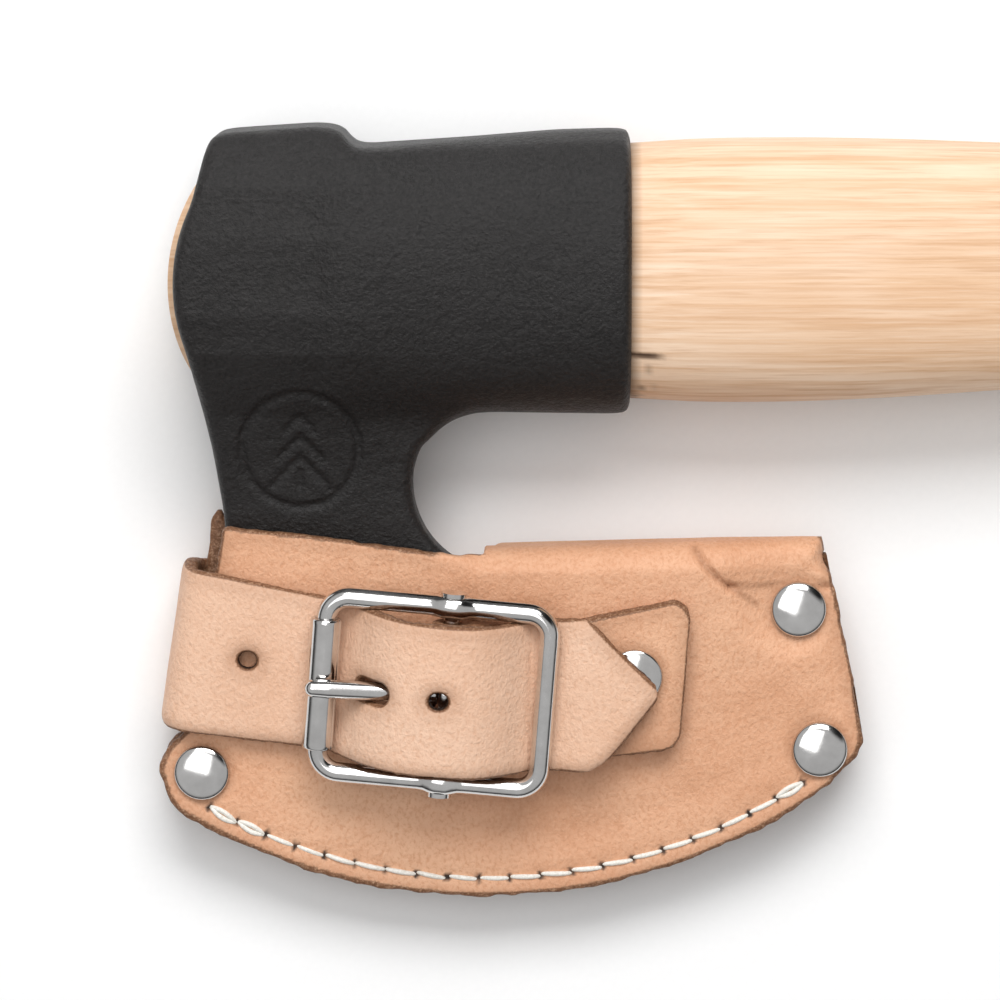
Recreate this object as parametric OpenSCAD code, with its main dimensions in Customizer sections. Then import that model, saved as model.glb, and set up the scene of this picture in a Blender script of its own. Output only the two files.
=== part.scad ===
// Felling axe lying on its side, its blade in a strapped leather sheath.
// +X runs from the head along the handle, +Y from the edge to the poll, +Z up from the floor.
// The shapes are drawn about the middle plane of the axe, with X and Y counted from the
// centre of the cutting edge's arc, and laid down on the floor at the end.

/* [Head] */
// Radius of the cutting edge
edge_r = 81.5; // [80:0.5:82]
// Half thickness of the head at the eye
cheek_half = 16.75; // [16:0.25:18]
// Length of the eye collar to the right of the arc's centre
collar_end = 22.9; // [22:0.1:24]
// Half height of the eye at the collar's mouth
eye_a = 20.1; // [19.6:0.1:20.3]
// Half width of the eye at the collar's mouth
eye_b = 13.4; // [12.5:0.1:13.8]
// Radius of the notch under the collar
notch_r = 14.1; // [13.5:0.1:14.4]

/* [Handle] */
// Far end of the handle, from the arc's centre
handle_end = 590; // [450:10:750]
// Half thickness of the end knob
knob_half = 15.4; // [15:0.2:18]

/* [Sheath] */
// Thickness of the sheath leather
leather_t = 2.8; // [2.4:0.1:3]
// Thickness of the welt between the panels
welt_t = 3; // [2.6:0.2:3.4]
// Radius of the sheath's rounded lower outline
sheath_r = 93.2; // [93:0.2:95]
// Radius of the stitch line
stitch_r = 90.2; // [90:0.1:90.8]
// Number of stitches
stitches = 20; // [14:1:22]

/* [Strap and buckle] */
// Width of the strap in the buckle
strap_w = 23.4; // [22:0.1:23.6]
// Thickness of the strap
strap_t = 2.6; // [2.2:0.1:2.6]
// Radius of the buckle's wire
wire_r = 1.6; // [1.4:0.05:1.6]
// Clear height between the buckle's rails
buckle_inner = 25; // [24.9:0.1:26]
// Outer radius of the roller
roller_r = 2.45; // [2.3:0.05:2.45]
// Radius of the centre bar
bar_r = 1.3; // [1.1:0.1:1.3]

/* [Rivets] */
// Radius of a rivet's cap
cap_r = 4.4; // [4:0.1:4.4]
// Height of a domed cap
cap_h = 1.8; // [1.4:0.1:1.8]
// Radius of a rivet's post
post_r = 1.5; // [1.2:0.1:1.5]

/* [Hidden] */
$fn = 96;
big = 400;

// The axe leans on the collar's cheek, the strap's rear rivet and the handle's knob.
lean = 6;
// Height of the middle plane over the floor at the arc's centre, and the frame's origin.
rest_z = 16.66;
mid_x = (handle_end - 51.6) / 2;
mid_y = -31.4;

// Eye: an oval that narrows toward the head's outer end
eye_y = 6.25;
eye_out_x = -49.6;
eye_out_y = 5.5;
eye_out_a = 16.8;
eye_out_b = 12.4;
oval_power = 2.5;
oval_sides = 48;

// Slide direction of the sheath, and the clearance round the blade inside it
slide_angle = -21;
cavity_r = edge_r + 1.9;
seam_r = 83.5;
cone_slope = 0.0905;
cone_angle = atan(cone_slope);

// Closure: centre bar on the middle plane, turn of the buckle in the plane, heights over it
bar_x = -6;
buckle_turn = -4.4;
bar_z = 13.5;
buckle_rise = 4;
roller_x = -19.7;
right_bar_x = 15.5;
rail_y = buckle_inner / 2 + wire_r;
tab_top = 10;
tab_under = 6.75;

// Rivet places: x, y
toe_at = [-44.9, -73.2];
upper_heel_at = [49.6, -47.1];
lower_heel_at = [53.1, -69.5];
strap_rivet_x = -20;
tab_rivet_at = [29.3, 4.3];

function arc(cx, cy, r, a0, a1, n) =
    [for (i = [0:n]) let (a = a0 + (a1 - a0) * i / n) [cx + r * cos(a), cy + r * sin(a)]];
function oval_pt(a, b, t) =
    [b * sign(cos(t)) * pow(abs(cos(t)), 2 / oval_power),
     a * sign(sin(t)) * pow(abs(sin(t)), 2 / oval_power)];
function oval_ring(x, yc, a, b) =
    [for (i = [0:oval_sides - 1]) let (p = oval_pt(a, b, 360 * (i + 0.5) / oval_sides))
        [x, yc + p[1], p[0]]];
function loft_faces(rings, n) = concat(
    [[for (i = [n - 1:-1:0]) i]],
    [for (k = [0:rings - 2]) for (i = [0:n - 1])
        let (a = k * n + i, b = k * n + (i + 1) % n) each [[a, b + n, a + n], [a, b, b + n]]],
    [[for (i = [0:n - 1]) (rings - 1) * n + i]]);
module loft(stations) {
    points = [for (s = stations) each oval_ring(s[0], s[1], s[2], s[3])];
    polyhedron(points, loft_faces(len(stations), oval_sides), convexity = 6);
}
module slab(z0, z1) { translate([0, 0, z0]) linear_extrude(z1 - z0, convexity = 6) children(); }
// A shape drawn in Y and Z, drawn out along X
module along_x(x0, x1) {
    translate([x0, 0, 0]) rotate([90, 0, 90]) linear_extrude(x1 - x0, convexity = 6) children();
}
module placed() {
    translate([-mid_x, -mid_y, rest_z]) rotate([lean, 0, 0]) children();
}

// ---------------------------------------------------------------- head
module head_outline() {
    polygon(concat(
        [[-41.7, 28.3], [-25.8, 29.4], [-22.4, 28.8], [-21.2, 27], [-19.4, 25.9], [-13.4, 26.4],
         [0.6, 27.5], [11.2, 28.4], [22, 28.7], [collar_end, 27.6], [collar_end, -15],
         [21.8, -16.1], [0.6, -15.7], [-2.8, -16.1], [-6.3, -17.7], [-8.8, -20.2]],
        arc(2.7, -27.5, notch_r, 153, 251, 14),
        [[49, -65.1]],
        arc(0, 0, edge_r, -53.03, -123.5, 36),
        [[-42.6, -52], [-41, -42], [-41.1, -32.7], [-42.9, -21.2], [-45.3, -10.7]],
        arc(-19.5, 4.8, 29, 201, 154, 8),
        [[-44.9, 20.1], [-43.3, 26.5]]));
}
module collar_section() {
    polygon([for (i = [0:63]) let (p = oval_pt(22.7, cheek_half - 0.25, 360 * i / 64))
        [eye_y + p[1], p[0]]]);
}
module cheek_section() {
    side = [[29.6, 10.5], [26, 12.6], [20, 15.6], [12, cheek_half], [0, cheek_half], [-6, 15.4],
            [-12, 12.2], [-16, 9.8], [-24, 7], [-33, 4.2], [-36.5, 2.6]];
    polygon(concat(side, [for (i = [len(side) - 1:-1:0]) [side[i][0], -side[i][1]]]));
}
module blade_cone() {
    rotate_extrude($fn = 128)
        polygon([[0, -8.2], [79, -0.9], [edge_r, -0.15], [edge_r, 0.15], [79, 0.9], [0, 8.2]]);
}
// The tapered eye, drawn past both ends of the head
function eye_at(x) = let (t = (x - eye_out_x) / (collar_end - eye_out_x))
    [x, eye_out_y + (eye_y - eye_out_y) * t, eye_out_a + (eye_a - eye_out_a) * t,
     eye_out_b + (eye_b - eye_out_b) * t];
module eye_shape() { loft([eye_at(-60), eye_at(eye_out_x), eye_at(collar_end), eye_at(30)]); }
module axe_head() placed() color([0.13, 0.13, 0.13]) difference() {
    union() {
        intersection() {
            slab(-20, 20) head_outline();
            along_x(-24, collar_end + 1) collar_section();
        }
        intersection() {
            slab(-21, 21) head_outline();
            along_x(-60, -8) cheek_section();
        }
        intersection() {
            slab(-22, 22) head_outline();
            blade_cone();
        }
    }
    eye_shape();
}

// -------------------------------------------------------------- handle
// x, middle y, half height, half width: the tongue in the eye, the swell, the grip, the knob
function handle_stations() = let (l = handle_end)
    [[eye_out_x, eye_out_y, eye_out_a, eye_out_b], [collar_end, eye_y, eye_a, eye_b],
     [34, 6.3, 20.7, 13.9], [47, 6.4, 20.8, 14], [63, 6.6, 20.4, 13.9], [81, 6.9, 19.5, 13.5],
     [0.19 * l, 7.6, 18, 12.7], [0.28 * l, 8.6, 16.8, 12], [0.42 * l, 9.8, 16.2, 11.6],
     [0.56 * l, 9.4, 16.2, 11.6], [0.7 * l, 6.4, 16.6, 11.7], [0.8 * l, 2.2, 17.2, 12],
     [0.88 * l, -2.4, 18.8, 13.2], [0.935 * l, -6.2, 21.6, 15], [0.97 * l, -8.4, 23.2, knob_half],
     [0.988 * l, -9, 22.6, knob_half - 0.6], [l, -9, 19.8, knob_half - 3.4]];
// Slots that the two wedges fill
module wood_wedge_slot() {
    rotate([-90, 0, 0]) translate([0, 0, -40]) linear_extrude(80)
        polygon([[-60, -2.8], [-60, 2.8], [6, 0.4], [6, -0.4]]);
}
module steel_wedge_slot() {
    slab(-9.5, 9.5) polygon([[-60, 3.2], [-60, 8.2], [-16, 6], [-16, 5.4]]);
}
module handle_end_trim() {
    slab(-30, 30) union() {
        translate([-19.5, 4.8]) circle(r = 30);
        translate([-20, -60]) square([handle_end + 60, 120]);
    }
}
module handle() placed() color([0.87, 0.76, 0.58]) difference() {
    intersection() {
        loft(handle_stations());
        handle_end_trim();
    }
    wood_wedge_slot();
    steel_wedge_slot();
}
module eye_wedge() placed() color([0.8, 0.66, 0.46]) difference() {
    intersection() {
        wood_wedge_slot();
        eye_shape();
        handle_end_trim();
    }
    steel_wedge_slot();
}
module steel_wedge() placed() color([0.5, 0.5, 0.5]) intersection() {
    steel_wedge_slot();
    handle_end_trim();
}

// -------------------------------------------------------------- sheath
module sheath_right_end() {
    polygon(concat(
        [[-0.5, -37.4], [53.6, -35.9], [55.1, -43.5], [58.8, -60.2], [59.9, -66.8]],
        arc(54.4, -67.6, 5.5, -4, -58, 6),
        [[54.8, -75.4], [44, -110], [0, -110]]));
}
module front_outline() intersection() {
    circle(r = sheath_r, $fn = 180);
    union() {
        polygon([[-41.2, -33.8], [-3.8, -38.4], [-0.5, -39.2], [8, -39.2], [8, -100], [-40, -100],
                 [-48.7, -79.46], [-50.3, -77.2], [-51.4, -73.9], [-51.6, -72.5], [-50.4, -69.4], [-47.2, -66.2], [-45.2, -52], [-42.4, -41]]);
        sheath_right_end();
    }
}
module back_outline() {
    front_outline();
    polygon([[-41.2, -33.8], [-42.2, -32.1], [-43.6, -33.4], [-44.1, -39.8], [-45.2, -52],
             [-30, -52], [-30, -35.2]]);
}
module outer_lens() {
    rotate_extrude($fn = 128)
        polygon([[0, -lens(0) - leather_t], [seam_r, -lens(seam_r) - leather_t],
                 [110, -lens(seam_r) - leather_t], [110, lens(seam_r) + leather_t],
                 [seam_r, lens(seam_r) + leather_t], [0, lens(0) + leather_t]]);
}
function lens(r) = welt_t / 2 + (seam_r - r) * cone_slope;
module inner_lens() {
    rotate_extrude($fn = 128)
        polygon([[0, -lens(0)], [seam_r, -lens(seam_r)], [110, -lens(seam_r)],
                 [110, lens(seam_r)], [seam_r, lens(seam_r)], [0, lens(0)]]);
}
// Outline of the room that the blade needs, at rest and as the sheath slides off
module cavity_outline() intersection() {
    union() {
        circle(r = cavity_r, $fn = 180);
        rotate(slide_angle) translate([-120, -cavity_r]) square([120, cavity_r]);
    }
    polygon([[-120, 60], [-0.5, 60], [-0.5, -40.2], [44.9, -38.9], [52.2, -70], [52.2, -110],
             [-120, -110]]);
}
module fold_outline() {
    polygon([[-0.5, -37.4], [53.6, -35.9], [60, -35.9], [60, -38.5], [-0.5, -40.2]]);
}
module welt_outline() difference() {
    front_outline();
    cavity_outline();
    fold_outline();
}
module stitch_holes() {
    for (i = [0:stitches - 1]) translate([stitch_pt(i)[0], stitch_pt(i)[1], -20])
        cylinder(r = hole_r, h = 40, $fn = 24);
}
hole_r = 0.4;
thread_r = 0.45;
function stitch_pt(i) = let (a = 241 + 63 * i / stitches) [stitch_r * cos(a), stitch_r * sin(a)];
module sheath_leather() placed() color([0.87, 0.7, 0.57]) difference() {
    intersection() {
        union() {
            slab(0, 20) front_outline();
            slab(-20, 0) back_outline();
        }
        outer_lens();
    }
    intersection() {
        slab(-20, 20) cavity_outline();
        inner_lens();
    }
    slab(-welt_t / 2, welt_t / 2) welt_outline();
    stitch_holes();
    rivet_room(toe_at, seat(0));
    rivet_room(upper_heel_at, seat(1));
    rivet_room(lower_heel_at, seat(0));
    tab_rivet_room();
    strap_rivet_room();
}
module sheath_welt() placed() color([0.5, 0.33, 0.22]) difference() {
    slab(-welt_t / 2, welt_t / 2) welt_outline();
    stitch_holes();
    for (p = [toe_at, upper_heel_at, lower_heel_at])
        translate([p[0], p[1], -20]) cylinder(r = post_r, h = 40);
}
// One stitch: a run of thread on each face, and the thread through the three layers
module seam_thread() placed() color([0.95, 0.94, 0.9]) for (i = [0:stitches - 1]) {
    p = stitch_pt(i);
    run = stitch_pt(i + 1) - p;
    z = welt_t / 2 + leather_t + thread_r;
    translate([p[0], p[1], 0]) rotate([0, 0, atan2(run[1], run[0])]) {
        cylinder(r = hole_r, h = 2 * z, center = true, $fn = 24);
        for (side = [-1, 1]) translate([-thread_r - 0.1, 0, side * z]) rotate([0, 90, 0])
            cylinder(r = thread_r, h = norm(run) - 0.2, $fn = 24);
    }
}

// -------------------------------------------------------------- rivets
// Height of the pressed seat under a cap: 0 along the seam, 1 at the upper heel
function seat(kind) = welt_t / 2 + leather_t - (kind == 0 ? 0.3 : 0.1);
module rivet_room(p, s) translate([p[0], p[1], 0]) {
    translate([0, 0, -20]) cylinder(r = post_r, h = 40);
    translate([0, 0, s]) cylinder(r = cap_r + 0.2, h = 10);
    translate([0, 0, -s - 10]) cylinder(r = cap_r + 0.2, h = 10);
}
module dome(r, h) {
    ball = (r * r + h * h) / (2 * h);
    intersection() {
        translate([0, 0, h - ball]) sphere(r = ball);
        cylinder(r = r, h = h + 1);
    }
}
module rivet_cap(r, h) difference() {
    dome(r, h);
    translate([0, 0, -1]) cylinder(r = post_r, h = 1.8);
}
// Domed cap below the layers and the post that runs up into the upper cap
module rivet_post(r, h, low, high) {
    translate([0, 0, low]) mirror([0, 0, 1]) dome(r, h);
    translate([0, 0, low - 0.3]) cylinder(r = post_r, h = high - low + 0.3 + 0.8);
}
module seam_cap(p, s) placed() color([0.78, 0.78, 0.8])
    translate([p[0], p[1], s]) rivet_cap(cap_r, cap_h);
module seam_post(p, s) placed() color([0.72, 0.72, 0.74])
    translate([p[0], p[1], 0]) rivet_post(cap_r, cap_h, -s, s);
module toe_rivet_cap() seam_cap(toe_at, seat(0));
module toe_rivet_post() seam_post(toe_at, seat(0));
module upper_heel_rivet_cap() seam_cap(upper_heel_at, seat(1));
module upper_heel_rivet_post() seam_post(upper_heel_at, seat(1));
module lower_heel_rivet_cap() seam_cap(lower_heel_at, seat(0));
module lower_heel_rivet_post() seam_post(lower_heel_at, seat(0));

// The tab's rivet has a thin flat head inside the sheath, let into the leather
head_t = 0.7;
tab_head_z = 3.9;
module tab_rivet_room() on_front() translate([tab_rivet_at[0], tab_rivet_at[1], 0]) {
    translate([0, 0, 1]) cylinder(r = post_r, h = 20);
    cylinder(r = 3.6, h = tab_head_z + head_t);
}
module tab_rivet_cap() placed() color([0.7, 0.7, 0.72])
    on_front() translate([tab_rivet_at[0], tab_rivet_at[1], tab_top]) rivet_cap(cap_r, 1.2);
module tab_rivet_post() placed() color([0.65, 0.65, 0.67])
    on_front() translate([tab_rivet_at[0], tab_rivet_at[1], tab_head_z]) {
        cylinder(r = 3.6, h = head_t);
        cylinder(r = post_r, h = tab_top - tab_head_z + 0.8);
    }
// The strap's rear rivet: domed cap behind, flat head let into the rear panel's inside
strap_cap_z = 9.65;
module on_back() {
    translate([strap_rivet_x, strap_y(strap_rivet_x), 0])
        rotate([-cone_angle, 0, 0]) mirror([0, 0, 1]) children();
}
module strap_rivet_room() on_back() {
    translate([0, 0, 1]) cylinder(r = post_r, h = 20);
    cylinder(r = 3.6, h = tab_head_z + head_t);
}
module strap_rivet_cap() placed() color([0.72, 0.72, 0.74])
    on_back() translate([0, 0, strap_cap_z]) rivet_cap(cap_r, 1.03);
module strap_rivet_post() placed() color([0.65, 0.65, 0.67]) on_back() {
    translate([0, 0, tab_head_z]) cylinder(r = 3.6, h = head_t);
    translate([0, 0, tab_head_z]) cylinder(r = post_r, h = strap_cap_z - tab_head_z + 0.8);
}

// ------------------------------------------------------ strap and buckle
// Line of the strap's middle in the plane, a shallow bend between two straight runs
function strap_y(x) = x < -22 ? -56.45 - 0.15 * (x + 22) : -58.7 + 0.0025 * pow(x - 8, 2);
function strap_dir(x) = x < -22 ? -0.15 : 0.005 * (x - 8);
// Route: distance from the centre bar and height over the middle plane
route = [[-10, -8.2], [-16, -8.1], [-24, -7.85], [-32, -7.55], [-38, -7.3], [-40.6, -6.7],
         [-42.1, -4.6], [-42.4, 0], [-42.1, 4.6], [-40.6, 6.7], [-38, 7.3], [-32, 7.65],
         [-26, 7.85], [-22, 7.95], [-19.5, 8], [-17.2, 8.4], [-15.5, 9.8], [-13.7, 12.3],
         [-11.3, 15.1], [-8, 17.6], [-4, 18.9], [0, 19.2], [4, 18.5], [7.6, 16.5], [11, 13.7],
         [12.6, 12.2], [14.6, 11.35], [17.5, 11.4], [21.5, 12.6], [25, 12.9], [29, 12.9],
         [33, 12.9]];
steps = 3;
function spline(a, b, c, d, t) =
    0.5 * ((2 * b) + (c - a) * t + (2 * a - 5 * b + 4 * c - d) * t * t
           + (3 * b - a - 3 * c + d) * t * t * t);
last = len(route) - 1;
path = [for (i = [0:last - 1]) for (k = [0:steps - 1])
            spline(route[max(i - 1, 0)], route[i], route[i + 1], route[min(i + 2, last)], k / steps),
        route[last]];
ends = len(path) - 1;
function strap_half(i) = let (x = path[i][0], front = path[i][1] > 0)
    !front || x < -38 ? 13
    : x < -20 ? 13 + (strap_w / 2 - 13) * (x + 38) / 18
    : x < 24 ? strap_w / 2
    : strap_w / 2 - (x - 24) * (strap_w / 2 - 2) / 9;
// Four corners of the strap's section at a step of its path
function strap_ring(i) =
    let (p = path[i], x = bar_x + p[0], h = p[1],
         d = path[min(i + 1, ends)] - path[max(i - 1, 0)], len = norm(d),
         turn = atan(strap_dir(x)), tilt = cone_angle * max(-1, min(1, h / 6)),
         along = d[0] / len, up = d[1] / len,
         mid = [x, strap_y(x) - h * sin(tilt), h * cos(tilt)],
         across = [-sin(turn) * cos(tilt), cos(turn) * cos(tilt), sin(tilt)],
         normal = [-up * cos(turn), -up * sin(turn) - along * sin(tilt), along * cos(tilt)],
         n = normal / norm(normal) * strap_t / 2, w = across * strap_half(i))
    [mid + w + n, mid + w - n, mid - w - n, mid - w + n];
strap_hole_x = [-31.3, -1.4];
module closure_strap() placed() color([0.93, 0.8, 0.7]) difference() {
    polyhedron([for (i = [0:ends]) each strap_ring(i)], loft_faces(ends + 1, 4), convexity = 10);
    on_front() rotate([0, 0, -3]) translate([strap_hole_x[0], 0, 5]) cylinder(r = 1.5, h = 8, $fn = 24);
    on_front() translate([strap_hole_x[1], 0, 16]) cylinder(r = 1.5, h = 8, $fn = 24);
    on_buckle() tongue_shank(1.65);
    on_back() translate([0, 0, 5]) cylinder(r = post_r, h = 10);
}
// Frame of the closure: on the middle plane under the bar, Z square to the front panel
module on_front() {
    translate([bar_x, strap_y(bar_x), 0]) rotate([cone_angle, 0, 0]) rotate([0, 0, buckle_turn])
        children();
}
module on_buckle() on_front() translate([0, 0, bar_z]) rotate([0, -buckle_rise, 0]) children();
module along_y(r, half) rotate([90, 0, 0]) cylinder(r = r, h = 2 * half, center = true);
module tab_plan() {
    polygon(concat([[-4, 11.7], [-4, -11.7], [14, -11.7]], arc(34, -4, 3.5, -80, -4, 5),
                   arc(34, 13.2, 3.5, 4, 80, 5), [[18, 11.7]]));
}
module tab_side() {
    polygon(concat(arc(0, bar_z, bar_r + 1.85, 80, 280, 20),
                   [[9, tab_under], [40, tab_under], [40, tab_top], [13, tab_top], [8, 13],
                    [4.5, 14.9]]));
}
module buckle_tab() placed() color([0.87, 0.7, 0.57]) on_front() difference() {
    intersection() {
        slab(0, 30) tab_plan();
        rotate([90, 0, 0]) linear_extrude(60, center = true) tab_side();
    }
    translate([0, 0, bar_z]) along_y(bar_r + 0.08, 20);
    translate([-6, -2.6, 8]) cube([11.5, 5.2, 12]);
    translate([tab_rivet_at[0], tab_rivet_at[1], 0]) cylinder(r = post_r, h = 20);
}
corner_r = 3.6;
module wire_corner(x, y, turn) {
    translate([x, y, 0]) rotate([0, 0, turn]) rotate_extrude(angle = 90, $fn = 96)
        translate([corner_r, 0]) circle(r = wire_r, $fn = 48);
}
module buckle_frame() placed() color([0.75, 0.75, 0.77]) on_buckle() difference() {
    union() {
        for (x = [roller_x, right_bar_x]) translate([x, 0, 0]) along_y(wire_r, rail_y - corner_r);
        for (s = [-1, 1]) {
            translate([roller_x + corner_r, s * rail_y, 0]) rotate([0, 90, 0])
                cylinder(r = wire_r, h = right_bar_x - roller_x - 2 * corner_r);
            translate([0, s * rail_y, 0]) along_y(2.6, wire_r);
        }
        wire_corner(right_bar_x - corner_r, rail_y - corner_r, 0);
        wire_corner(roller_x + corner_r, rail_y - corner_r, 90);
        wire_corner(roller_x + corner_r, -rail_y + corner_r, 180);
        wire_corner(right_bar_x - corner_r, -rail_y + corner_r, 270);
    }
    along_y(bar_r, 30);
}
module buckle_bar() placed() color([0.7, 0.7, 0.72]) on_buckle() {
    along_y(bar_r, rail_y + wire_r);
    for (s = [-1, 1]) translate([0, s * (rail_y + wire_r + 0.35), 0]) along_y(2, 0.35);
}
module buckle_roller() placed() color([0.72, 0.72, 0.74]) on_buckle() translate([roller_x, 0, 0])
    difference() {
        along_y(roller_r, rail_y - corner_r);
        along_y(wire_r + 0.05, 30);
    }
module tongue_shank(r) {
    translate([-1.5, 0, 0.6]) rotate([0, -90 + 10.4, 0]) {
        cylinder(r = r, h = 19.4, $fn = 48);
        translate([0, 0, 19.4]) sphere(r = r, $fn = 48);
    }
}
module buckle_tongue() placed() color([0.75, 0.75, 0.77]) on_buckle() difference() {
    union() {
        along_y(2.9, 2.2);
        tongue_shank(1.5);
    }
    along_y(bar_r + 0.05, 10);
    translate([-30, -5, -5]) cube([13, 10, 5 + roller_r + 0.15]);
}

axe_head();
handle();
eye_wedge();
steel_wedge();
sheath_leather();
sheath_welt();
seam_thread();
toe_rivet_cap();
toe_rivet_post();
upper_heel_rivet_cap();
upper_heel_rivet_post();
lower_heel_rivet_cap();
lower_heel_rivet_post();
tab_rivet_cap();
tab_rivet_post();
strap_rivet_cap();
strap_rivet_post();
closure_strap();
buckle_tab();
buckle_frame();
buckle_bar();
buckle_roller();
buckle_tongue();
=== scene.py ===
import math

import bpy
import numpy as np
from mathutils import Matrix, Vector


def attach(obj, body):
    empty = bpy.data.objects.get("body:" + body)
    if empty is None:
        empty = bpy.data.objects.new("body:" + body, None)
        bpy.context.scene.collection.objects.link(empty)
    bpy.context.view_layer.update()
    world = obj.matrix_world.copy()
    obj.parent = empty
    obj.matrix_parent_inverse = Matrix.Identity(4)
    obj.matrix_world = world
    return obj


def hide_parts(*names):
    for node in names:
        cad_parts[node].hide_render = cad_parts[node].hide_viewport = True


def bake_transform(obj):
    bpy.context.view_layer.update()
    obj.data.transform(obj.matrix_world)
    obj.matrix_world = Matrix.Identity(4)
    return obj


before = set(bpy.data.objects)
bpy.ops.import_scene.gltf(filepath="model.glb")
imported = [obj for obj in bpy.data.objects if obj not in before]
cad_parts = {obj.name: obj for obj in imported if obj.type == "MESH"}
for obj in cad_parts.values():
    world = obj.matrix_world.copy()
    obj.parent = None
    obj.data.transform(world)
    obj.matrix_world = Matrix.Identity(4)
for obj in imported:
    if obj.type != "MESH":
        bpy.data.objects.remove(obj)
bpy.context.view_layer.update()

# ------------------------------------------------------------------ frame
# Shapes are drawn in millimetres about the axe's middle plane: X along the handle, Y from the
# edge to the poll, both from the centre of the edge's arc, Z out of the near face. place() lays
# them on the floor, as the CAD does.
LEAN = math.radians(6)
REST_Z = 16.66
MID_X = (590 - 51.6) / 2
MID_Y = -31.4

EDGE_R = 81.5
EYE_Y = 6.25
COLLAR_END = 22.9
CONE = 0.0905
WELT_HALF = 1.5
LEATHER = 2.8
SEAM_R = 83.5
SHEATH_R = 93.2
STITCH_R = 90.2
STITCHES = 20
STITCH_FROM, STITCH_TO = 241, 304
TOE = (-44.9, -73.2)
UPPER_HEEL = (49.6, -47.1)
LOWER_HEEL = (53.1, -69.5)
BAR_X = -6.0
BAR_Z = 13.5
BAR_R = 1.3
ROLLER_X = -19.7
RIGHT_X = 15.5
RAIL_Y = 14.1
WIRE_R = 1.6
TAB_RIVET = (29.3, 4.3)
TAB_TOP = 10.0


def place(p):
    """Millimetres about the axe's middle plane to metres in the part's frame."""
    p = np.asarray(p, float).reshape(-1, 3)
    c, s = math.cos(LEAN), math.sin(LEAN)
    y = p[:, 1] * c - p[:, 2] * s - MID_Y
    z = p[:, 1] * s + p[:, 2] * c + REST_Z
    return np.column_stack([p[:, 0] - MID_X, y, z]) / 1000


def turned(p, axis, degrees):
    """Points turned about one axis by the right-hand rule."""
    a = math.radians(degrees)
    c, s = math.cos(a), math.sin(a)
    p = np.array(p, float).reshape(-1, 3)
    i, j = {"x": (1, 2), "y": (2, 0), "z": (0, 1)}[axis]
    out = p.copy()
    out[:, i] = p[:, i] * c - p[:, j] * s
    out[:, j] = p[:, i] * s + p[:, j] * c
    return out


def strap_y(x):
    x = np.asarray(x, float)
    return np.where(x < -22, -56.45 - 0.15 * (x + 22), -58.7 + 0.0025 * (x - 8) ** 2)


def on_front(p):
    """From the closure's frame, square to the front panel under the centre bar."""
    q = turned(turned(p, "z", -4.4), "x", math.degrees(math.atan(CONE)))
    return q + [BAR_X, float(strap_y(BAR_X)), 0]


def on_buckle(p):
    """From the buckle's frame: the bar along Y, the frame in the plane Z = 0."""
    return on_front(turned(p, "y", -4) + [0, 0, BAR_Z])


# --------------------------------------------------------------- geometry
def smax(a, b, k):
    """The larger of a and b with a round of about k where they cross."""
    h = np.maximum(k - np.abs(a - b), 0) / k
    return np.maximum(a, b) + h * h * k / 4


def smin(a, b, k):
    return -smax(-a, -b, k)


def in_plan(x, y):
    """The X and Y of a field's open grid, as two full planes."""
    return x[:, :, 0] + 0 * y[:, :, 0], y[:, :, 0] + 0 * x[:, :, 0]


def ramp(x, lo, hi):
    t = np.clip((x - lo) / (hi - lo), 0, 1)
    return t * t * (3 - 2 * t)


def arc(cx, cy, r, a0, a1, n):
    a = np.radians(np.linspace(a0, a1, n + 1))
    return [(cx + r * math.cos(t), cy + r * math.sin(t)) for t in a]


def to_polygon(x, y, points):
    """Signed distance to a closed polygon, negative inside."""
    p = np.array(points, float)
    q = np.roll(p, -1, axis=0)
    best = np.full(x.shape, 1e9)
    inside = np.zeros(x.shape, bool)
    for (ax, ay), (bx, by) in zip(p, q):
        ex, ey = bx - ax, by - ay
        t = np.clip(((x - ax) * ex + (y - ay) * ey) / (ex * ex + ey * ey), 0, 1)
        best = np.minimum(best, (x - ax - t * ex) ** 2 + (y - ay - t * ey) ** 2)
        if ay != by:
            inside ^= ((ay > y) != (by > y)) & (x < (bx - ax) * (y - ay) / (by - ay) + ax)
    return np.sqrt(best) * np.where(inside, -1, 1)


def to_line(x, y, points):
    """Distance to an open line of points."""
    best = np.full(np.shape(x), 1e9)
    for (ax, ay), (bx, by) in zip(points[:-1], points[1:]):
        ex, ey = bx - ax, by - ay
        t = np.clip(((x - ax) * ex + (y - ay) * ey) / (ex * ex + ey * ey), 0, 1)
        best = np.minimum(best, (x - ax - t * ex) ** 2 + (y - ay - t * ey) ** 2)
    return np.sqrt(best)


def waves(x, y, z, size, seed, count=7):
    """Smooth noise of about that size in mm, from -1 to 1, as a sum of seeded waves."""
    rng = np.random.default_rng(seed)
    total = 0
    for _ in range(count):
        k = rng.normal(size=3)
        k *= 2 * math.pi / (size * rng.uniform(0.7, 1.6) * np.linalg.norm(k))
        total = total + np.sin(k[0] * x + k[1] * y + k[2] * z + rng.uniform(0, 6.28))
    return total / math.sqrt(count) * 0.7


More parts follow.
